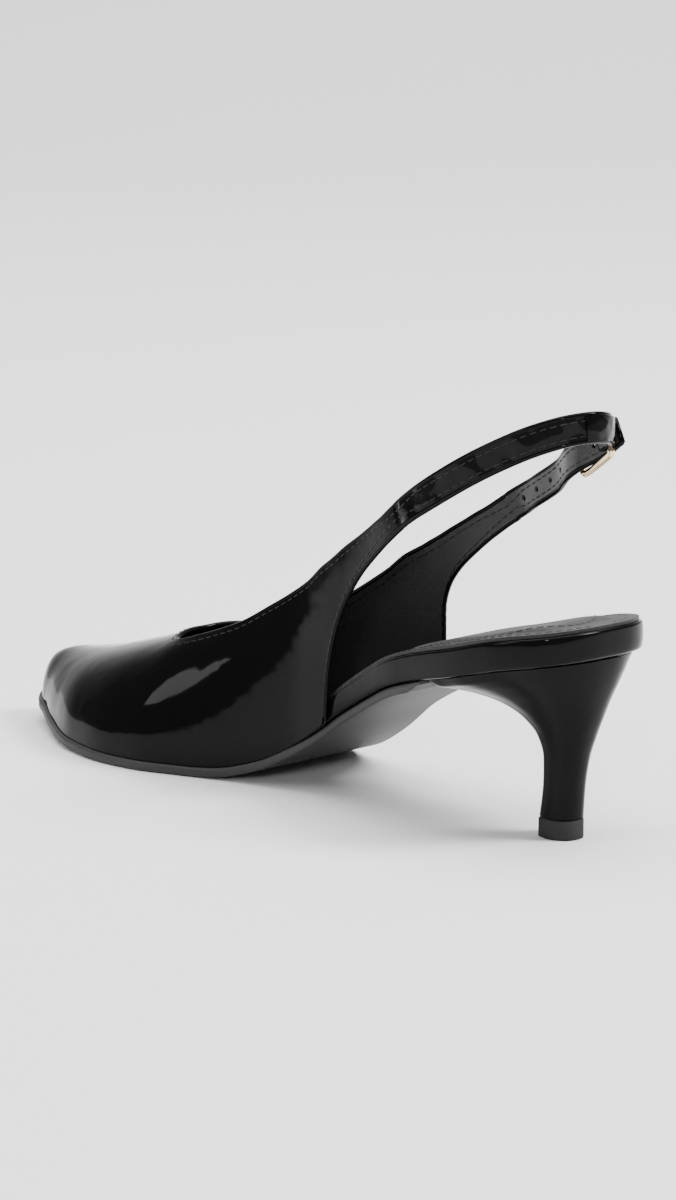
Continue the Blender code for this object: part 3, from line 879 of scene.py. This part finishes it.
@dataclass
class Buckle:
    """Frame and prong on the lateral strap, with the strap's way through them."""

    back_reach: float = 0.062
    back_width: float = 0.046
    back_height: float = 0.120
    length: float = 0.0172
    width: float = 0.0124
    wire: float = 0.0016
    rail_width: float = 0.0021
    rail_squareness: float = 0.55
    rail_sides: int = 16
    corner_radius: float = 0.0016
    arch: float = 0.0005
    prong_wire: float = 0.0011
    strap_thickness: float = 0.0018

    def back_point(self, row: Row) -> Vector:
        """World point of a row of shares of the back's reach, width and height."""
        along, across, height = row
        return to_world(along * self.back_reach, across * self.back_width, height * self.back_height)

    def axes(self) -> tuple[Vector, Vector, Vector, Vector]:
        """Middle of the buckle and its rearward, outward and width directions.

        Returns:
            One point and three unit directions.
        """
        front = self.back_point(BUCKLE_SPAN[0])
        rear = self.back_point(BUCKLE_SPAN[1])
        rearward = (rear - front).normalized()
        outward = rearward.cross(Vector((0.0, 0.0, -1.0))).normalized()
        return 0.5 * (front + rear), rearward, outward, rearward.cross(outward)

    def bar(self, bar_side: int, rise: float) -> Vector:
        """Point over the front bar (-1) or the rear bar (1), a rise outward."""
        middle, rearward, outward, _ = self.axes()
        return middle + rearward * (0.5 * (self.length - self.wire) * bar_side) + outward * rise

    def frame(self) -> None:
        """Rounded rectangular frame, slightly arched along the strap."""
        middle, rearward, outward, upward = self.axes()
        long_half = 0.5 * (self.length - self.wire)
        wide_half = 0.5 * (self.width - self.wire)
        corner = self.corner_radius
        path = []
        for long_sign, wide_sign, first in ((1, 1, 0.0), (-1, 1, 90.0), (-1, -1, 180.0), (1, -1, 270.0)):
            for k in range(7):
                turn = math.radians(first + 15.0 * k)
                along = long_sign * (long_half - corner) + corner * math.cos(turn)
                across = wide_sign * (wide_half - corner) + corner * math.sin(turn)
                path.append((along, across))
        dense = []
        for k, (along, across) in enumerate(path):
            next_along, next_across = path[(k + 1) % len(path)]
            parts = 6 if math.hypot(next_along - along, next_across - across) > 0.003 else 1
            for n in range(parts):
                share = n / parts
                u = along + (next_along - along) * share
                v = across + (next_across - across) * share
                arch = self.arch * (1.0 - (u / long_half) ** 2)
                dense.append(middle + rearward * u + upward * v + outward * arch)
        rings = []
        for k, point in enumerate(dense):
            tangent = (dense[(k + 1) % len(dense)] - dense[k - 1]).normalized()
            flat = outward.cross(tangent).normalized()
            ring = []
            for n in range(self.rail_sides):
                turn = 2.0 * math.pi * n / self.rail_sides
                cosine, sine = math.cos(turn), math.sin(turn)
                wide = math.copysign(abs(cosine) ** self.rail_squareness, cosine) * self.rail_width
                tall = math.copysign(abs(sine) ** self.rail_squareness, sine) * self.wire
                ring.append(point + flat * (0.5 * wide) + outward * (0.5 * tall))
            rings.append(ring)
        maker = MeshMaker()
        maker.add_grid(rings, closed_across=True, closed_along=True)
        piece = maker.finish("gold_frame", GOLD, "gold")
        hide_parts("buckle_frame")

    def prong(self) -> None:
        """Prong hooked round the rear bar, with its tip on the front bar."""
        _, rearward, outward, _ = self.axes()
        rise = 0.5 * (self.wire + self.prong_wire) + 0.0001
        rear = self.bar(1, 0.0)
        path = []
        for k in range(9):
            turn = math.radians(-200.0 + 25.0 * k)
            path.append(rear + (rearward * -math.cos(turn) + outward * math.sin(turn)) * rise)
        end = self.bar(-1, rise) - rearward * (0.25 * self.wire)
        start = path[-1]
        for k in range(1, 11):
            share = k / 10
            path.append(start.lerp(end, share) + outward * (0.0004 * math.sin(math.pi * share)))
        maker = MeshMaker()
        maker.add_tube(path, 0.5 * self.prong_wire, 10)
        piece = maker.finish("gold_prong", GOLD, "gold")
        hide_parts("buckle_prong")

    def build(self) -> None:
        """Build the frame and its prong."""
        self.frame()
        self.prong()


@dataclass
class Upper:
    """Vamp, quarters and both straps, as one skin, one lining, one rolled edge and stitches."""

    last: Last
    buckle: Buckle
    wall: float = 0.0016
    skin: float = 0.0006
    strap_width: float = 0.0074
    sling_lead: float = 0.0040
    tail_length: float = 0.0036
    hole_diameter: float = 0.0017
    hole_spacing: float = 0.0078
    hole_count: int = 4
    fold_start: float = 0.0045
    fold_length: float = 0.0220
    fold_thickness: float = 0.0009
    edge_inset: float = 0.0004
    seam_offset: float = 0.0026
    strap_steps: int = 130
    twist_steps: int = 26
    columns: int = 28
    vamp_rows: int = 40
    parts: int = 7

    def rib_angle(self, along: float, height: float) -> float:
        """Angle of a point of the upper from its height over the floor.

        Args:
            along: Place along the shoe.
            height: Share of the topline height, or FEATHER or CROWN.

        Returns:
            The angle, from nought at the feather line.
        """
        if height == FEATHER:
            return 0.0
        if height == CROWN:
            return 0.5 * math.pi
        rise = height * TOPLINE_HEIGHT - self.last.feather(along) - CLEARANCE
        return math.asin(min(max(rise / self.last.crown(along), 0.0), 1.0))

    def rows(self, side: Side) -> list[Row]:
        """Low and top places and angles of each row, from the toe to the quarter's end.

        Args:
            side: Side of the shoe.

        Returns:
            Rows of low place, low angle, top place and top angle.
        """
        ribs = LATERAL_RIBS if side is Side.LATERAL else MEDIAL_RIBS
        throat = ribs[0][0] * SHOE_LENGTH
        rows = []
        for k in range(self.vamp_rows):
            turn = 0.5 * math.pi * (1.0 - k / self.vamp_rows)
            along = throat + (SHOE_LENGTH - throat) * math.sin(turn)
            rows.append((along, 0.0, along, 0.5 * math.pi))
        knots = [(k,) + row for k, row in enumerate(ribs)]
        angles = [(k, self.rib_angle(row[0] * SHOE_LENGTH, row[1]),
                   self.rib_angle(row[2] * SHOE_LENGTH, row[3])) for k, row in enumerate(ribs)]
        for k in range((len(ribs) - 1) * self.parts + 1):
            share = k / self.parts
            rows.append((
                read_table(knots, 1, share) * SHOE_LENGTH,
                read_table(angles, 1, share),
                read_table(knots, 3, share) * SHOE_LENGTH,
                read_table(angles, 2, share),
            ))
        return rows

    def row_point(self, row: Row, share: float, side: Side, depth: float) -> Vector:
        """Point of a row at a share of its length and a depth in the wall.

        Args:
            row: Row of places and angles.
            share: Share of the way up the row.
            side: Side of the shoe.
            depth: Depth under the outer face.

        Returns:
            The world point.
        """
        along = row[0] + (row[2] - row[0]) * share
        angle = row[1] + (row[3] - row[1]) * share
        return self.last.upper_point(along, angle, side, CLEARANCE + self.wall, depth)

    def quarter_end(self, side: Side) -> tuple[Vector, Vector, Vector]:
        """Middle of the quarter's end, the way it leaves and its width direction.

        Args:
            side: Side of the shoe.

        Returns:
            One point and two unit directions.
        """
        before, end = self.rows(side)[-2:]
        low_before = self.row_point(before, 0.0, side, 0.0)
        top_before = self.row_point(before, 1.0, side, 0.0)
        low = self.row_point(end, 0.0, side, 0.0)
        top = self.row_point(end, 1.0, side, 0.0)
        upward = (top - low).normalized()
        leaving = (low + top) - (low_before + top_before)
        leaving = (leaving - upward * leaving.dot(upward)).normalized()
        outward = upward.cross(leaving).normalized()
        if outward.y * side.value < 0.0:
            outward.negate()
        return 0.5 * (low + top) - outward * (0.5 * self.wall), leaving, upward

    def strap_path(self, side: Side) -> list[Vector]:
        """Middle line of the sling or of the buckle strap.

        Args:
            side: Medial for the sling, lateral for the buckle strap.

        Returns:
            Evenly spread points.
        """
        buckle = self.buckle
        end, leaving, _ = self.quarter_end(side)
        first = end + leaving * (2.0 * CLEARANCE)
        points = [first, first + leaving * (0.4 * self.strap_width)]
        rise = 0.5 * (buckle.wire + buckle.strap_thickness) + CLEARANCE
        _, rearward, _, _ = buckle.axes()
        if side is Side.MEDIAL:
            points += [buckle.back_point(row) for row in SLING_PATH]
            bar = buckle.bar(1, -rise)
            points += [bar + rearward * self.sling_lead, bar - rearward * buckle.wire]
        else:
            points += [buckle.back_point(row) for row in BUCKLE_STRAP_PATH]
            points.append(buckle.bar(-1, -rise) - rearward * buckle.wire)
            points.append(buckle.bar(-1, -rise) + rearward * buckle.wire)
            points.append(buckle.bar(1, rise) - rearward * buckle.wire)
            points.append(buckle.bar(1, rise) + rearward * self.tail_length)
        return smooth_path(points, self.strap_steps)

    def strap_frames(self, side: Side) -> list[Frame]:
        """Point, outward normal and width direction along a strap.

        Args:
            side: Side that the strap starts from.

        Returns:
            One frame for each point of the path.
        """
        path = self.strap_path(side)
        upright = Vector((0.0, 0.0, 1.0))
        first_upward = self.quarter_end(side)[2]
        frames = []
        for k, point in enumerate(path):
            tangent = (path[min(k + 1, len(path) - 1)] - path[max(k - 1, 0)]).normalized()
            across = first_upward.lerp(upright, ease(k, 0, self.twist_steps))
            outward = tangent.cross(across).normalized() * side.value
            upward = (outward.cross(tangent) * side.value).normalized()
            frames.append((point, outward, upward))
        return frames

    def strap_point(self, spot: Frame, share: float, depth: float) -> Vector:
        """Point across a strap at a share of its width and a depth in its wall."""
        point, outward, upward = spot
        return point + upward * (self.strap_width * (share - 0.5)) + outward * (0.5 * self.wall - depth)

    def side_grid(self, side: Side, depth: float, inset: float) -> Grid:
        """Grid of one side from toe to strap end, at a depth, pulled in from its free edges.

        Args:
            side: Side of the shoe.
            depth: Depth under the outer face.
            inset: Distance from the free edges.

        Returns:
            Rows of points.
        """
        grid = []
        throat = self.vamp_rows
        for i, row in enumerate(self.rows(side)):
            span = (self.row_point(row, 0.0, side, 0.0) - self.row_point(row, 1.0, side, 0.0)).length
            low = inset / span if row[1] > 0.0 else 0.0
            top = inset / span if i > throat else 0.0
            line = []
            for j in range(self.columns + 1):
                share = low + (1.0 - low - top) * j / self.columns
                line.append(self.row_point(row, share, side, depth))
            grid.append(line)
        edge = inset / self.strap_width
        for spot in self.strap_frames(side):
            line = []
            for j in range(self.columns + 1):
                share = edge + (1.0 - 2.0 * edge) * j / self.columns
                line.append(self.strap_point(spot, share, depth))
            grid.append(line)
        return grid

    def sheet(self, name: str, outer: float, inner: float, finishes: tuple[Finish, Finish],
              slot: str) -> bpy.types.Object:
        """One leather layer over both sides, closed round its edges.

        Args:
            name: Name of the layer.
            outer: Depth of its outer face in the wall.
            inner: Depth of its inner face.
            finishes: Finish of vamp and quarters, and finish of the straps.
            slot: Part slot that it belongs to.

        Returns:
            The layer's object.
        """
        maker = MeshMaker()
        strap_rows = self.vamp_rows + (len(LATERAL_RIBS) - 1) * self.parts + 4
        for side in Side:
            front = maker.add_grid(self.side_grid(side, outer, self.edge_inset))
            back = maker.add_grid(self.side_grid(side, inner, self.edge_inset))
            for i in range(len(front) - 1):
                maker.data.faces.new((front[i][0], front[i + 1][0], back[i + 1][0], back[i][0]))
                if i >= self.vamp_rows:
                    maker.data.faces.new((front[i][-1], front[i + 1][-1], back[i + 1][-1], back[i][-1]))
                if i >= strap_rows:
                    for face in {face for vert in front[i] + back[i] for face in vert.link_faces}:
                        face.material_index = 1
            for j in range(self.columns):
                maker.data.faces.new((front[-1][j], front[-1][j + 1], back[-1][j + 1], back[-1][j]))
        item = maker.finish(name, finishes[0], slot, 60.0)
        item.data.materials.append(finishes[1].material())
        return item

    def edge_line(self, side: Side, share_from_top: bool) -> list[Vector]:
        """Free edge of one side in the middle of its wall: the topline or the rear edge.

        Args:
            side: Side of the shoe.
            share_from_top: Take the topline rather than the rear edge.

        Returns:
            Points from the upper to the strap's end.
        """
        middle = 0.5 * self.wall
        share = 1.0 if share_from_top else 0.0
        line = []
        for i, row in enumerate(self.rows(side)):
            if (share_from_top and i < self.vamp_rows) or (not share_from_top and row[1] <= 0.02):
                continue
            line.append(self.row_point(row, share, side, middle))
        line += [self.strap_point(spot, share, middle) for spot in self.strap_frames(side)[1:]]
        return line

    def rolled_edge(self) -> bpy.types.Object:
        """Rolled edge round topline, straps and rear edges, in one run.

        Returns:
            The finished object.
        """
        lateral = self.edge_line(Side.LATERAL, False) + self.edge_line(Side.LATERAL, True)[::-1]
        medial = self.edge_line(Side.MEDIAL, True)[1:] + self.edge_line(Side.MEDIAL, False)[::-1]
        path = lateral + medial
        kept = [path[0]]
        for point in path[1:]:
            if (point - kept[-1]).length > 0.0003:
                kept.append(point)
        maker = MeshMaker()
        maker.add_tube(kept, 0.5 * self.wall + 0.00005, 10)
        return maker.finish("rolled_edge", PATENT, "patent", 80.0)

    def seam(self, side: Side, from_top: bool, depth: float, offset: float) -> list[Vector]:
        """Stitch line at an offset from a free edge, on a face of the wall.

        Args:
            side: Side of the shoe.
            from_top: Follow the topline rather than the rear edge.
            depth: Depth under the outer face.
            offset: Distance from the edge.

        Returns:
            Points of the line.
        """
        line = []
        for i, row in enumerate(self.rows(side)):
            span = (self.row_point(row, 0.0, side, 0.0) - self.row_point(row, 1.0, side, 0.0)).length
            share = offset / span
            if from_top:
                if i <= self.vamp_rows:
                    continue
                share = 1.0 - share
            elif row[1] <= 0.10:
                continue
            line.append(self.row_point(row, share, side, depth))
        edge = min(offset, 0.0015) / self.strap_width
        for k, spot in enumerate(self.strap_frames(side)[1:]):
            share = edge + (offset / self.strap_width - edge) * (1.0 - ease(k, 0, 16))
            line.append(self.strap_point(spot, 1.0 - share if from_top else share, depth))
        return line

    def cut_holes(self, sheets: list[bpy.types.Object]) -> None:
        """Punch the row of holes and the prong's hole through skin and lining.

        Args:
            sheets: Layers to punch.
        """
        path = self.strap_path(Side.LATERAL)
        frames = self.strap_frames(Side.LATERAL)
        lengths = [0.0]
        for first, second in zip(path, path[1:]):
            lengths.append(lengths[-1] + (second - first).length)
        front = lengths[-1] - self.tail_length - self.buckle.length
        places = [front - self.hole_spacing * (k + 1.0) for k in range(self.hole_count)]
        prong_place = lengths[-1] - self.tail_length - 0.42 * self.buckle.length
        maker = MeshMaker()
        for place in (*places, prong_place):
            radius = 0.5 * self.hole_diameter * (0.7 if place == prong_place else 1.0)
            nearest = min(range(len(path)), key=lambda n: abs(lengths[n] - place))
            point, outward, _ = frames[nearest]
            reach = outward * (1.5 * self.wall)
            maker.add_tube([point - reach, point, point + reach], radius, 16)
        cutter = maker.finish("hole_punch", THREAD, "patent")
        for sheet in sheets:
            cut = sheet.modifiers.new("holes", "BOOLEAN")
            cut.operation = "DIFFERENCE"
            cut.solver = "EXACT"
            cut.object = cutter
            view = bpy.context.evaluated_depsgraph_get()
            mesh = bpy.data.meshes.new_from_object(sheet.evaluated_get(view))
            sheet.modifiers.clear()
            sheet.data = mesh
        bpy.data.objects.remove(cutter, do_unlink=True)

    def sling_fold(self) -> bpy.types.Object:
        """Sling's end laid back over its outer face as a flat strip, without a turn round the buckle's
        rear bar.

        Returns:
            The finished object.
        """
        frames = self.strap_frames(Side.MEDIAL)
        rings = []
        length = 0.0
        last_point = frames[-1][0]
        for point, outward, upward in reversed(frames):
            length += (point - last_point).length
            last_point = point
            if not self.fold_start <= length <= self.fold_length:
                continue
            ring = []
            for across, depth in ((-0.48, 0.0), (0.48, 0.0), (0.48, 0.9), (0.42, 1.0), (-0.42, 1.0),
                                  (-0.48, 0.9)):
                rise = 0.5 * self.wall + depth * self.fold_thickness
                ring.append(point + upward * (across * self.strap_width) + outward * rise)
            rings.append(ring)
        maker = MeshMaker()
        verts = maker.add_grid(rings, closed_across=True)
        maker.data.faces.new(verts[0])
        maker.data.faces.new(verts[-1])
        return maker.finish("sling_fold", CRINKLED, "patent", 40.0)

    def build(self) -> None:
        """Build both leather layers, the rolled edge and the straps' holes."""
        skin = self.sheet("patent_upper", 0.0, self.skin, (PATENT, CRINKLED), "patent")
        lining = self.sheet("upper_lining", self.wall - self.skin, self.wall, (LINING, LINING), "lining")
        self.cut_holes([skin, lining])
        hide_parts("upper", "sling_strap", "buckle_strap")
        self.rolled_edge()
        self.sling_fold()


@dataclass
class Stitching:
    """Thread stitches laid along paths, joined in one mesh."""

    length: float = 0.0021
    gap: float = 0.0009
    radius: float = 0.00018

    def build(self, name: str, paths: list[list[Vector]]) -> None:
        """Lay stitches along each path.

        Args:
            name: Name of the joined mesh.
            paths: Lines on the leather's surface.
        """
        maker = MeshMaker()
        for path in paths:
            lengths = [0.0]
            for first, second in zip(path, path[1:]):
                lengths.append(lengths[-1] + (second - first).length)
            count = int(lengths[-1] / (self.length + self.gap))
            coordinates = np.array([list(point) for point in path])
            for n in range(count):
                start = (self.length + self.gap) * n
                spots = []
                for share in (0.0, 0.15, 0.5, 0.85, 1.0):
                    place = start + self.length * share
                    spots.append(Vector([float(np.interp(place, lengths, coordinates[:, c]))
                                         for c in range(3)]))
                rings = tube_rings(spots, self.radius, 6, False)
                for ring, size in ((0, 0.35), (-1, 0.35)):
                    middle = spots[ring]
                    rings[ring] = [middle + (point - middle) * size for point in rings[ring]]
                verts = maker.add_grid(rings, closed_across=True)
                maker.data.faces.new(verts[0])
                maker.data.faces.new(verts[-1])
        maker.finish(name, THREAD, "lining")


@dataclass
class Studio:
    """Pale floor and backdrop, soft lights and the camera."""

    camera_place: tuple[float, float, float] = (-0.76485, 0.82233, 0.28970)
    focal_pixels: float = 4020.0
    frame_height: float = 1200.0
    aim: tuple[float, float, float] = (0.0935, 0.0, 0.0560)
    half_width: float = 6.0

    def sweep(self) -> None:
        """Floor that curves up into a backdrop."""
        maker = MeshMaker()
        rows = []
        away, beside = Vector((0.70, -0.72, 0.0)), Vector((0.72, 0.70, 0.0))
        for place, height in self.sweep_profile():
            middle = away * place + Vector((0.0, 0.0, height))
            rows.append([middle - beside * self.half_width, middle + beside * self.half_width])
        maker.add_grid(rows)
        mesh = bpy.data.meshes.new("studio_sweep")
        maker.data.to_mesh(mesh)
        maker.data.free()
        mesh.shade_smooth()
        floor = bpy.data.objects.new("studio_sweep", mesh)
        bpy.context.scene.collection.objects.link(floor)
        paper = bpy.data.materials.new("studio_paper")
        paper.use_nodes = True
        shader = paper.node_tree.nodes["Principled BSDF"]
        shader.inputs["Base Color"].default_value = (0.86, 0.86, 0.86, 1.0)
        shader.inputs["Roughness"].default_value = 0.9
        shader.inputs["Specular IOR Level"].default_value = 0.1
        mesh.materials.append(paper)

    def sweep_profile(self) -> list[tuple[float, float]]:
        """Place away from the camera and height of the sweep's rows.

        Returns:
            Pairs of place and height.
        """
        profile = [(-0.9, 0.0), (0.5, 0.0), (2.0, 0.0)]
        for k in range(1, 13):
            turn = 0.5 * math.pi * k / 12
            profile.append((2.0 + 1.5 * math.sin(turn), 1.5 * (1.0 - math.cos(turn))))
        profile.append((3.5, 5.0))
        return profile

    def light(self, name: str, place: tuple[float, float, float], size: tuple[float, float],
              power: float) -> None:
        """Area light that faces the shoe.

        Args:
            name: Name of the light.
            place: Where it stands.
            size: Width and height.
            power: Power in watts.
        """
        data = bpy.data.lights.new(name, "AREA")
        data.shape = "RECTANGLE"
        data.size, data.size_y = size
        data.energy = power
        lamp = bpy.data.objects.new(name, data)
        lamp.location = place
        target = Vector((0.08, 0.0, 0.05))
        lamp.rotation_euler = (target - Vector(place)).to_track_quat("-Z", "Y").to_euler()
        bpy.context.scene.collection.objects.link(lamp)

    def camera(self) -> None:
        """Camera at the photograph's place, turned to take in the whole shoe."""
        data = bpy.data.cameras.new("camera")
        data.sensor_fit = "VERTICAL"
        data.sensor_height = 36.0
        data.lens = self.focal_pixels / self.frame_height * data.sensor_height
        item = bpy.data.objects.new("camera", data)
        item.location = self.camera_place
        look = Vector(self.aim) - Vector(self.camera_place)
        item.rotation_euler = look.to_track_quat("-Z", "Y").to_euler()
        bpy.context.scene.collection.objects.link(item)
        bpy.context.scene.camera = item

    def build(self) -> None:
        """Set up stage, lights, world and camera."""
        self.camera()
        self.sweep()
        self.light("key_light", (-1.30, -1.10, 1.90), (0.7, 1.0), 92.0)
        self.light("overhead_light", (0.60, -0.50, 3.00), (3.6, 3.6), 200.0)
        self.light("left_light", (0.90, 1.60, 1.10), (0.5, 1.2), 14.0)
        self.light("spark_light", (-1.15, 1.46, 0.78), (0.16, 0.24), 12.0)
        world = bpy.data.worlds.new("studio_world")
        world.use_nodes = True
        background = world.node_tree.nodes["Background"]
        background.inputs["Color"].default_value = (0.92, 0.93, 0.94, 1.0)
        background.inputs["Strength"].default_value = 0.20
        bpy.context.scene.world = world


def main() -> None:
    """Build every sub-assembly in order."""
    logging.basicConfig(level=logging.INFO, format="%(message)s")
    last = Last()
    buckle = Buckle()
    bottom = Bottom(last)
    upper = Upper(last, buckle)
    bottom.build()
    upper.build()
    buckle.build()
    seams = []
    for side in Side:
        for from_top in (True, False):
            seams.append(upper.seam(side, from_top, -0.00005, upper.seam_offset))
            seams.append(upper.seam(side, from_top, upper.wall + 0.00005, upper.seam_offset))
    stitching = Stitching()
    stitching.build("upper_stitches", seams)
    stitching.build("sock_stitches", bottom.sock_stitches())
    Studio().build()


if __name__ == "__main__":
    main()
